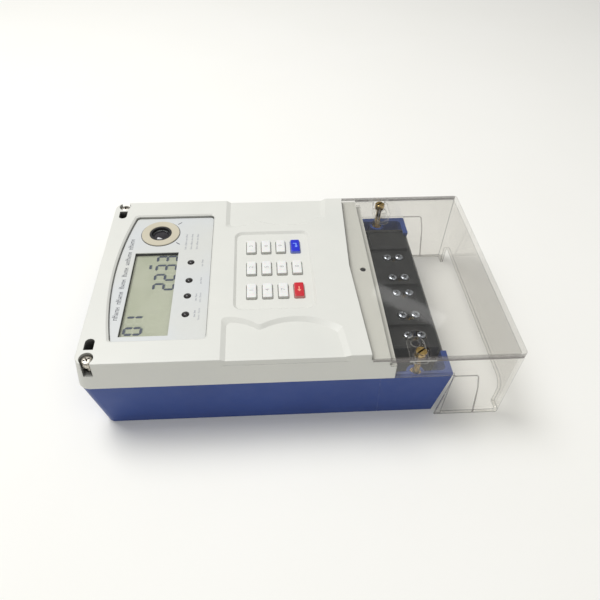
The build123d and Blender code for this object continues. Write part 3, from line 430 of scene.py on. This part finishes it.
FINISHES = {
    "case_grey": case_grey(),
    "case_blue": case_blue(),
    "seal_rubber": moulded("gasket_rubber", (34, 34, 35), 0.7, 0.5, 0.02),
    "zinc_steel": metal("zinc_plate", (206, 212, 222), 0.2, (138, 142, 152)),
    "ring_steel": moulded("port_ring", (208, 201, 180), 0.34, 0.3, 0.01, (198, 190, 168)),
    "printed_panel": printed_panel(),
    "clear_plastic": clear_polycarbonate("clear_lid", (0.953, 0.949, 0.938), 0.01),
    "lcd_cell": lcd_cell(),
    "diffuser": glossy("light_guide", (228, 232, 220), 0.3, (214, 220, 204)),
    "black_plastic": moulded("black_moulding", (30, 30, 32), 0.4, 0.3, 0.02, (40, 40, 42)),
    "white_plastic": moulded("nylon", (224, 222, 208), 0.45, 0.3, 0.02, (214, 210, 192)),
    "smoked_lens": glossy("smoked_window", (38, 36, 40), 0.08, (58, 56, 60), 4.0),
    "diode_resin": glossy("diode_resin", (60, 56, 84), 0.1, (46, 42, 70), 2.0),
    "lamp_resin": glossy("lamp_resin", (38, 35, 35), 0.3, (52, 46, 45), 2.0, {"Coat Weight": 0.15}),
    "circuit_board": circuit_board(),
    "grey_cable": glossy("ribbon", (150, 150, 154), 0.4, (132, 132, 138), 3.0),
    "ferrite": speckled("ferrite", (46, 47, 50), 0.5, (70, 71, 74)),
    "coil_tape": glossy("coil_tape", (214, 176, 74), 0.3, (198, 156, 52)),
    "capacitor_sleeve": glossy("capacitor_sleeve", (30, 38, 76), 0.28, (40, 50, 92)),
    "battery_sleeve": glossy("battery_sleeve", (58, 122, 84), 0.3, (48, 106, 72)),
    "varistor_blue": speckled("varistor_coat", (40, 70, 140), 0.42, (62, 92, 160)),
    "relay_case": moulded("relay_case", (40, 40, 46), 0.38, 0.4, 0.02, (52, 52, 58)),
    "copper": metal("copper", (214, 138, 96), 0.28, (150, 84, 56)),
    "terminal_black": terminal_black(),
    "brass": metal("brass", (208, 178, 116), 0.2, (112, 84, 46)),
    "key_white": key_rubber("key_white_cap", *KEY_WHITE),
    "key_blue": key_rubber("key_blue_cap", *KEY_BLUE),
    "key_red": key_rubber("key_red_cap", *KEY_RED),
}


def dress_cad_nodes():
    """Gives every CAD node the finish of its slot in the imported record."""
    for part in frame["record"]["subparts"]:
        mesh_object = frame["nodes"][part["node"]]
        finish = FINISHES[part["material_slot"]].material
        if not mesh_object.material_slots:
            mesh_object.data.materials.append(finish)
        for material_slot in mesh_object.material_slots:
            material_slot.material = finish


# ---------------------------------------------------------------- mesh tools
def add_piece(name, shape, material, body, replaced=(), sharp=35.0):
    """Turns a bmesh in millimetres into a piece that rides on a body."""
    bmesh.ops.remove_doubles(shape, verts=shape.verts, dist=1e-4)
    bmesh.ops.recalc_face_normals(shape, faces=shape.faces)
    bmesh.ops.scale(shape, vec=(MM, MM, MM), verts=shape.verts)
    mesh = bpy.data.meshes.new(name)
    shape.to_mesh(mesh)
    shape.free()
    mesh.shade_smooth()
    mesh.set_sharp_from_angle(angle=math.radians(sharp))
    mesh.materials.append(material)
    piece = bpy.data.objects.new(name, mesh)
    bpy.context.scene.collection.objects.link(piece)
    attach(piece, body)
    if replaced:
        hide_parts(*replaced)
    return piece


def skin(shape, rings):
    """Joins closed rings of points into a solid, capped at both ends."""
    rows = [[shape.verts.new(point) for point in ring] for ring in rings]
    count = len(rows[0])
    for lower, upper in zip(rows, rows[1:]):
        for i in range(count):
            j = (i + 1) % count
            shape.faces.new((lower[i], lower[j], upper[j], upper[i]))
    shape.faces.new(rows[0][::-1])
    shape.faces.new(rows[-1])


def circle(radius, z, steps, ripple=None):
    """Points of a ring; ripple gives the radius to add at an angle."""
    points = []
    for i in range(steps):
        angle = 2 * math.pi * i / steps
        r = radius + (ripple(angle) if ripple else 0)
        points.append((r * math.cos(angle), r * math.sin(angle), z))
    return points


def rounded_ring(half_x, half_y, radius, z):
    """Points of a rounded rectangle about the Z axis."""
    corner_steps = 6
    points = []
    corners = ((1, 1, 0), (-1, 1, 90), (-1, -1, 180), (1, -1, 270))
    for sign_x, sign_y, start in corners:
        for i in range(corner_steps + 1):
            angle = math.radians(start + 90 * i / corner_steps)
            x = sign_x * (half_x - radius) + radius * math.cos(angle)
            y = sign_y * (half_y - radius) + radius * math.sin(angle)
            points.append((x, y, z))
    return points


def add_box(shape, low, high):
    """Box between two corners."""
    (x0, y0, z0), (x1, y1, z1) = low, high
    lower = [(x0, y0, z0), (x1, y0, z0), (x1, y1, z0), (x0, y1, z0)]
    skin(shape, [lower, [(x, y, z1) for x, y, _ in lower]])


def add_plate(shape, outline, z0, z1):
    """Flat plate of any outline, given as (x, y) points."""
    skin(shape, [[(x, y, z) for x, y in outline] for z in (z0, z1)])


def to_mesh(shape):
    """The bmesh as a plain mesh, with its normals outwards."""
    bmesh.ops.recalc_face_normals(shape, faces=shape.faces)
    mesh = bpy.data.meshes.new("tool")
    shape.to_mesh(mesh)
    shape.free()
    return mesh


def carve(shape, cutter):
    """The first bmesh less the second, as a mesh."""
    solid, tool = (bpy.data.objects.new("tool", to_mesh(s)) for s in (shape, cutter))
    for each in (solid, tool):
        bpy.context.scene.collection.objects.link(each)
    cut = solid.modifiers.new("cut", "BOOLEAN")
    cut.object = tool
    cut.solver = "EXACT"
    graph = bpy.context.evaluated_depsgraph_get()
    mesh = bpy.data.meshes.new_from_object(solid.evaluated_get(graph))
    for each in (solid, tool):
        bpy.data.objects.remove(each)
    return mesh


def copies(mesh, places):
    """One bmesh with a copy of the mesh at each place: x, y, z and a turn in degrees."""
    shape = bmesh.new()
    for x, y, z, turn in places:
        first = len(shape.verts)
        shape.from_mesh(mesh)
        shape.verts.ensure_lookup_table()
        spot = Matrix.Translation((x, y, z)) @ Matrix.Rotation(math.radians(turn), 4, "Z")
        bmesh.ops.transform(shape, matrix=spot, verts=shape.verts[first:])
    return shape


# ---------------------------------------------------------------- screws
SCREW_POINT = 0.6
# Pan head from its foot to its top, as shares of its radius and height.
HEAD_PROFILE = [(0.94, 0), (1, 0.12), (1, 0.55), (0.97, 0.72), (0.88, 0.86), (0.7, 0.95), (0.4, 1.0)]


def thread_rings(radius, depth, pitch, low, high, steps):
    """Rings of a threaded shank from low to high, with a blunt point and a tapered first turn."""
    rows_per_turn, point_share, taper_share = 6, 0.35, 0.25
    rows = max(2, round((high - low) / pitch * rows_per_turn))
    rings = [circle(radius * point_share, low - SCREW_POINT, steps)]
    for row in range(rows + 1):
        z = low + (high - low) * row / rows
        taper = min(1, (z - low) / (2 * pitch))

        def groove(angle, z=z, taper=taper):
            turn = (z / pitch - angle / (2 * math.pi)) % 1
            return -depth * abs(2 * turn - 1) - taper_share * radius * (1 - taper)

        rings.append(circle(radius, z, steps, groove))
    return rings


def cross_drive(reach, width, depth, top):
    """Tapered four-armed recess as a bmesh, cut down from top."""
    rings = []
    for share, z in ((0.35, top - depth), (1.0, top), (1.05, top + 1)):
        r, w = reach * share, width
        arm = [(r, -w), (r, w), (w, w)]
        rings.append([(*turned(point, quarter), z) for quarter in range(4) for point in arm])
    shape = bmesh.new()
    skin(shape, rings)
    return shape


def turned(point, quarters):
    """A point in the plane, turned by a number of right angles."""
    x, y = point
    for _ in range(quarters):
        x, y = -y, x
    return x, y


def pan_head_screw(head, shank, length):
    """Cross-recessed screw whose head stands on z = 0."""
    (head_r, head_h), (shank_r, pitch) = head, shank
    steps, neck = 40, -0.2
    shape = bmesh.new()
    rings = thread_rings(shank_r, 0.14 * shank_r, pitch, SCREW_POINT - length, neck, steps)
    rings.append(circle(shank_r, 0, steps))
    rings += [circle(head_r * share, head_h * rise, steps) for share, rise in HEAD_PROFILE]
    skin(shape, rings)
    drive = cross_drive(0.58 * head_r, 0.13 * head_r, 0.6 * head_h, head_h)
    return carve(shape, drive)


def make_screws():
    """Detailed terminal screws and cover screws in place of the plain ones."""
    low, high = node_box("terminal_screws")
    deck = high.z - TERMINAL_HEAD[1]
    mesh = pan_head_screw(TERMINAL_HEAD, TERMINAL_SHANK, deck - low.z)
    first_turn, row_turn, column_turn = 23, 37, 58
    places = []
    for row, y in enumerate(TERMINAL_YS):
        for column, x in enumerate(TERMINAL_XS):
            places.append((x, y, deck, first_turn + row_turn * row + column_turn * column))
    add_piece(
        "terminal_screws_detail", copies(mesh, places), FINISHES["zinc_steel"].material,
        "case", ["terminal_screws"],
    )

    low, high = node_box("cover_screws")
    deck = high.z - COVER_HEAD[1]
    mesh = pan_head_screw(COVER_HEAD, COVER_SHANK, deck - low.z)
    x, y = centre("cover_screws")[0], high.y - COVER_HEAD[0]
    near, far = (x, -y, deck, 30), (x, y, deck, 12)
    pale_zinc = metal("pale_zinc", (226, 220, 208), 0.34, (120, 112, 98)).material
    add_piece(
        "cover_screws_detail", copies(mesh, [near, far]), pale_zinc,
        "case", ["cover_screws"],
    )


def make_seal_screw(side):
    """Knurled, slotted brass thumb screw with a hole for the sealing wire."""
    node = "seal_screw_" + side
    low, high = node_box(node)
    x, y = centre(node)
    radius, top, steps = (high.x - low.x) / 2, high.z, 72
    foot = top - 4.9
    thread_r, thread_depth, pitch, plain_r, plain_length = 2.2, 0.3, 0.8, 2.0, 8.0
    slot_half, slot_depth, hole_r, hole_rise = 0.6, 1.7, 0.9, 1.8
    shape = bmesh.new()

    def knurl(angle):
        return -0.16 * abs(math.sin(12 * angle))

    thread_low, thread_high = low.z + SCREW_POINT, foot - plain_length
    rings = thread_rings(thread_r, thread_depth, pitch, thread_low, thread_high, steps)
    rings += [circle(plain_r, z, steps) for z in (foot - plain_length + 0.2, foot)]
    for inset, rise in ((0.5, 0.0), (0.15, 0.4), (0.15, 0.9)):
        rings.append(circle(radius - inset, foot + rise, steps))
    rings += [circle(radius, z, steps, knurl) for z in (foot + 1.1, top - 1.2)]
    for inset, drop in ((0.2, 0.9), (0.35, 0.4), (0.9, 0.0)):
        rings.append(circle(radius - inset, top - drop, steps))
    skin(shape, rings)
    cutter = bmesh.new()
    add_box(cutter, (-5, -slot_half, top - slot_depth), (5, slot_half, top + 1))
    hole = [[(px, py, pz) for py, pz, px in circle(hole_r, end, 16)] for end in (-6, 6)]
    skin(cutter, [[(a, b, c + foot + hole_rise) for a, b, c in ring] for ring in hole])
    mesh = carve(shape, cutter)
    add_piece(
        node + "_detail", copies(mesh, [(x, y, 0, 35)]), FINISHES["brass"].material,
        node, [node],
    )


# ---------------------------------------------------------------- keys
SKIRT_HEIGHT, FLANGE_THICK, CAP_CORNER = 4.6, 1.2, 0.9
# Cap from its skirt to the middle of its crown: inset from the skirt and drop below the top.
CAP_PROFILE = [(0.0, 1.9), (0.3, 0.75), (0.36, 0.5), (0.47, 0.32), (0.66, 0.2), (0.95, 0.13)]
CAP_PROFILE += [(1.6, 0.09), (2.6, 0.07), (3.4, 0.06)]
LEGEND_HALF, LEGEND_DROP, LEGEND_SIZE = 0.012, 0.045, 4.2
KEYS = [node for node in sorted(frame["nodes"]) if node.startswith("key_") and node != "key_switches"]


def make_key_cap(node):
    """Key cap with its stem, flange, drafted skirt and softly rounded, crowned top."""
    low, high = node_box(node)
    x, y = centre(node)
    deck, flange_foot = high.z - SKIRT_HEIGHT, high.z - SKIRT_HEIGHT - FLANGE_THICK
    half_x, half_y = (size / 2 for size in KEY_CAP)
    flange = [size / 2 for size in KEY_FLANGE]
    stem = [(1.2, low.z), (1.6, low.z + 0.5), (1.6, flange_foot)]
    rings = [rounded_ring(stem_r, stem_r, stem_r - 0.01, z) for stem_r, z in stem]
    rings += [rounded_ring(*flange, 0.5, z) for z in (flange_foot, deck)]
    rings.append(rounded_ring(half_x, half_y, CAP_CORNER, deck))
    for inset, drop in CAP_PROFILE:
        radius = max(0.25, CAP_CORNER - inset * 0.2)
        radius = min(radius, half_x - inset - 0.01)
        rings.append(rounded_ring(half_x - inset, half_y - inset, radius, high.z - drop))
    shape = bmesh.new()
    skin(shape, [[(px + x, py + y, pz) for px, py, pz in ring] for ring in rings])
    slot = {"key_enter": "key_blue", "key_backspace": "key_red"}.get(node, "key_white")
    add_piece(node + "_cap", shape, FINISHES[slot].material, node, [node], 50.0)


def text_outline(text, size):
    """Flat mesh of a short text, centred on the origin, in millimetres."""
    curve = bpy.data.curves.new("legend", "FONT")
    curve.body, curve.size = text, size
    curve.align_x, curve.align_y = "CENTER", "CENTER"
    curve.extrude = LEGEND_HALF
    holder = bpy.data.objects.new("legend", curve)
    bpy.context.scene.collection.objects.link(holder)
    graph = bpy.context.evaluated_depsgraph_get()
    mesh = bpy.data.meshes.new_from_object(holder.evaluated_get(graph))
    bpy.data.objects.remove(holder)
    return mesh


def arrow_left():
    """Backspace arrow, pointing left as it is read."""
    head, tail, half, stem = -2.6, 2.6, 1.5, 0.42
    return [(head, 0), (head + 2, half), (head + 2, stem), (tail, stem)] + [
        (tail, -stem), (head + 2, -stem), (head + 2, -half)
    ]


def arrow_enter():
    """Enter arrow: down from the right, then left to its head."""
    outline = [(-2.6, -0.7), (-0.8, 0.7), (-0.8, -0.3), (1.7, -0.3), (1.7, 1.7)]
    return outline + [(2.5, 1.7), (2.5, -1.1), (-0.8, -1.1), (-0.8, -2.1)]


def make_legends():
    """Printed legend on each key; it reads along +Y, with its top towards the display."""
    quarter_turn = 90
    grey = ink("legend_grey", (168, 168, 166)).material
    arrows = {
        "key_enter": (arrow_enter(), (122, 160, 255)),
        "key_backspace": (arrow_left(), (244, 158, 132)),
    }
    for node in KEYS:
        spot = (*centre(node), node_box(node)[1].z - LEGEND_DROP, quarter_turn)
        if node in arrows:
            outline, colour = arrows[node]
            material = ink(node + "_ink", colour).material
            shape = bmesh.new()
            add_plate(shape, outline, -LEGEND_HALF, LEGEND_HALF)
            mesh = to_mesh(shape)
        else:
            material = grey
            mesh = text_outline(node[-1], LEGEND_SIZE)
        add_piece("legend_" + node[4:], copies(mesh, [spot]), material, node)


# ---------------------------------------------------------------- display
SEGMENTS = {"0": "abcdef", "1": "bc", "2": "abdeg", "3": "abcdg", "8": "abcdefg"}


def segment_outlines(digit, width, height, stroke):
    """Outlines of a digit's lit segments; u runs to the right and v up from the lower left."""
    w, h, s = width, height, stroke / 2
    left, right, foot, middle, head = s, w - s, s, h / 2, h - s
    bars = {
        "a": ((left, head), (right, head)), "g": ((left, middle), (right, middle)),
        "d": ((left, foot), (right, foot)), "b": ((right, middle), (right, head)),
        "c": ((right, foot), (right, middle)), "f": ((left, middle), (left, head)),
        "e": ((left, foot), (left, middle)),
    }
    gap = 0.22
    for name in SEGMENTS[digit]:
        (u0, v0), (u1, v1) = bars[name]
        length = math.hypot(u1 - u0, v1 - v0)
        du, dv = (u1 - u0) / length, (v1 - v0) / length
        u0, v0, u1, v1 = u0 + gap * du, v0 + gap * dv, u1 - gap * du, v1 - gap * dv
        plus, minus = s * (du + dv), s * (du - dv)
        yield [
            (u0, v0), (u0 + plus, v0 - minus), (u1 - minus, v1 - plus),
            (u1, v1), (u1 - plus, v1 + minus), (u0 + minus, v0 + plus),
        ]


def make_lcd_digits():
    """Lit digits, their faint shadow on the reflector and the ghosts of the unlit ones."""
    top = node_box("lcd_glass")[1].z
    small = {"width": 7.6, "height": 13.2, "stroke": 1.75}
    large = {"width": 7.6, "height": 16.4, "stroke": 1.75}
    small_row, large_row, large_ys, large_step = -106.6, -88.5, (-15.4, -5.4, 4.9, 15.0), 10.1
    cells = [("0", small_row, -57.9, small), ("1", small_row, -48.0, small)]
    cells += [(digit, large_row, y, large) for digit, y in zip("2233", large_ys)]
    ghosts = [("8", large_row, large_ys[0] - large_step * i, large) for i in range(1, 5)]
    ghosts += [("8", x, y, size) for _, x, y, size in cells]
    dash = [(-109.6, 8.0), (-107.9, 8.0), (-107.9, 12.4), (-109.6, 12.4)]

    def sheet(name, digits, shift, rise, material):
        """One layer of digits, shifted to the lower right and raised above the cell."""
        z = top + rise
        shape = bmesh.new()
        for digit, x, y, size in digits:
            for outline in segment_outlines(digit, **size):
                points = [(x - v + shift, y + u + shift) for u, v in outline]
                add_plate(shape, points, z, z + INK_THICK)
        if digits is cells:
            add_plate(shape, [(x + shift, y) for x, y in dash], z, z + INK_THICK)
        add_piece(name, shape, material, "case")

    sheet("lcd_ghost_digits", ghosts, 0.0, 0.0, ink("lcd_ghost", (199, 205, 185), 0.5).material)
    sheet("lcd_digit_shadow", cells, 0.55, 0.03, ink("lcd_shadow", (150, 161, 146), 0.6).material)
    sheet("lcd_digits", cells, 0.0, 0.06, ink("lcd_dark", (66, 76, 100), 0.4).material)


# Greeked print on the panel. A row is the x its letters stand on, and its start and end along Y.
TITLE_ROW = (-124.1, -46.4, 40.5)
TEXT_ROWS = [(x, 26.4, 45.2) for x in (-82.6, -78.2, -73.8)]
LAMP_ROWS = [(-68.4, 6.4, 14.2), (-68.4, -12.6, -5.6), (-70.9, -29.6, -22.4), (-67.9, -31.2, -21.6)]
SIDE_ROWS = [(-70.9, -45.2, -38.8), (-67.9, -48.0, -36.8)]


def word_marks(shape, row, height, z, words):
    """One row of greeked print along Y: words of so many letters each, made of thin strokes."""
    x, y, end = row
    stroke_share, short_share, levels = 0.11, 0.7, (0.35, 0.6, 0.85)
    left_share, right_share = 0.18, 0.72
    step = (end - y) / (sum(words) + len(words) - 1)
    half = stroke_share * height / 2
    for letters in words:
        for letter in range(letters):
            tall = height if (letter * 7 + letters) % 4 == 0 else height * short_share
            left, right = y + left_share * step, y + right_share * step
            for foot in (left, right):
                add_box(shape, (x - tall, foot - half, z), (x, foot + half, z + INK_THICK))
            level = x - tall * levels[(letter * 5 + letters) % 3]
            add_box(shape, (level - half, left, z), (level + half, right, z + INK_THICK))
            y += step
        y += step


def port_ticks_and_shadow_ring(shape, z):
    """Painted shadow ring round the optical port, in the gap where its ring meets the panel, and two
    printed ticks that point away from it.
    """
    tick_half, tick_start, tick_end, shadow_in, shadow_out, steps = 0.35, 17.4, 21.2, 15.25, 15.6, 72
    x, y = centre("optical_port_ring")
    for angle in (42, -40):
        direction = Vector((math.cos(math.radians(angle)), math.sin(math.radians(angle))))
        side = Vector((-direction.y, direction.x)) * tick_half
        near, far = (direction * reach + Vector((x, y)) for reach in (tick_start, tick_end))
        add_plate(shape, [near - side, near + side, far + side, far - side], z, z + INK_THICK)
    # Painted shadow: a thin dark ring in the gap round the port's ring.
    inner, outer = circle(shadow_in, 0, steps), circle(shadow_out, 0, steps)
    for i in range(steps):
        j = (i + 1) % steps
        quad = (inner[i], outer[i], outer[j], inner[j])
        add_plate(shape, [(px + x, py + y) for px, py, _ in quad], z, z + INK_THICK)


def make_panel_print():
    """Greeked print on the panel: title, text rows, lamp labels and port ticks, with a painted shadow
    ring round the port.
    """
    z = node_box("nameplate")[1].z
    dark, faint = bmesh.new(), bmesh.new()
    word_marks(dark, TITLE_ROW, 3.9, z, [5, 5, 4, 4, 6, 5])
    for rows, height, words in (
        (TEXT_ROWS, 1.6, [4, 6, 3, 5]), (LAMP_ROWS, 1.5, [3, 4]), (SIDE_ROWS, 1.5, [4, 4]),
    ):
        for row in rows:
            word_marks(faint, row, height, z, words)
    # The port's painted shadow ring goes in with the dark title print.
    port_ticks_and_shadow_ring(dark, z)
    dark_ink_and_shadow, faint_ink = ink("print_and_shadow_dark", (62, 64, 76)), ink("print_faint", (150, 152, 160))
    add_piece("panel_title_and_port_shadow", dark, dark_ink_and_shadow.material, "case")
    add_piece("panel_small_marks", faint, faint_ink.material, "case")


def make_port_trim():
    """Bright retaining ring round the port's lens, with a finer step inside it."""
    x, y = centre("optical_port_lens")
    seat = node_box("optical_port_lens")[0].z + 1.0
    profile = [(7.1, 0.0), (7.1, 0.35), (6.9, 0.5), (6.6, 0.5), (6.45, 0.3), (6.3, 0.3), (6.2, 0.05)]
    shape = bmesh.new()
    skin(shape, [circle(radius, seat + rise, 64) for radius, rise in profile])
    bmesh.ops.translate(shape, vec=(x, y, 0), verts=shape.verts)
    trim = metal("port_trim", (150, 154, 152), 0.25, (84, 88, 88)).material
    add_piece("port_lens_trim", shape, trim, "case")


# ---------------------------------------------------------------- stage
def add_lamp(name, place, size, power, target=(0, 0, 0), along=None):
    """Rectangular soft box aimed at a target; along gives the direction of its long side."""
    lamp = bpy.data.lights.new(name, "AREA")
    lamp.shape, lamp.energy = "RECTANGLE", power
    lamp.size, lamp.size_y = size[0] * MM, size[1] * MM
    holder = bpy.data.objects.new(name, lamp)
    back = (Vector(place) - Vector(target)).normalized()
    side = Vector(along).normalized() if along else Vector((0, 0, 1)).cross(back).normalized()
    side = (side - back * side.dot(back)).normalized()
    axes = Matrix((side, back.cross(side), back)).transposed()
    holder.matrix_world = Matrix.Translation(Vector(place) * MM) @ axes.to_4x4()
    bpy.context.scene.collection.objects.link(holder)


def make_stage():
    """Pale floor, an overhead soft box at the far left, a weaker one in front and soft sky.

    A small strip light gives the streak that the lid's plate mirrors towards the near side.
    """
    half, under, top = 3000, -2, -0.02
    floor_shape = bmesh.new()
    outline = [(-half, -half), (half, -half), (half, half), (-half, half)]
    add_plate(floor_shape, outline, under, top)
    bmesh.ops.scale(floor_shape, vec=(MM, MM, MM), verts=floor_shape.verts)
    mesh = to_mesh(floor_shape)
    floor = bpy.data.objects.new("floor", mesh)
    paper = Finish("floor_paper", (252, 251, 246), 0.8)
    paper.cloud(120, 3, (0.3, 0.7), 0.5, (250, 249, 243))
    mesh.materials.append(paper.material)
    bpy.context.scene.collection.objects.link(floor)

    add_lamp("key_light", (-650, 420, 1700), (900, 900), 24.5)
    add_lamp("front_light", (500, -800, 1400), (900, 900), 3.0)
    add_lamp("strip_light", (311, 550, 703), (175, 34), 0.022, (76, -36, 68), (132, -84, 17))

    world = bpy.data.worlds.new("studio")
    bpy.context.scene.world = world
    world.use_nodes = True
    sky = world.node_tree.nodes["Background"]
    sky.inputs["Color"].default_value = (1.0, 1.0, 0.99, 1)
    sky.inputs["Strength"].default_value = 0.34
    bpy.context.scene.view_settings.view_transform = "Standard"


def make_camera():
    """Camera at the height and angle of a person leaning over the meter's near side."""
    place, direction, roll_angle = (-22.1, -296.7, 343.3), (0.0385, 0.6895, -0.7232), 0.55
    data = bpy.data.cameras.new("camera")
    data.lens, data.sensor_width = 32.26, 36.0
    data.shift_x, data.shift_y = 0.023, 0.0037
    camera = bpy.data.objects.new("camera", data)
    camera.location = Vector(place) * MM
    look = Vector(direction).to_track_quat("-Z", "Y")
    roll = Matrix.Rotation(math.radians(roll_angle), 4, "Z")
    camera.rotation_euler = (look.to_matrix().to_4x4() @ roll).to_euler()
    bpy.context.scene.collection.objects.link(camera)
    bpy.context.scene.camera = camera


dress_cad_nodes()
make_screws()
for screw_side in ("near", "far"):
    make_seal_screw(screw_side)
for key in KEYS:
    make_key_cap(key)
make_legends()
make_lcd_digits()
make_panel_print()
make_port_trim()
make_stage()
make_camera()
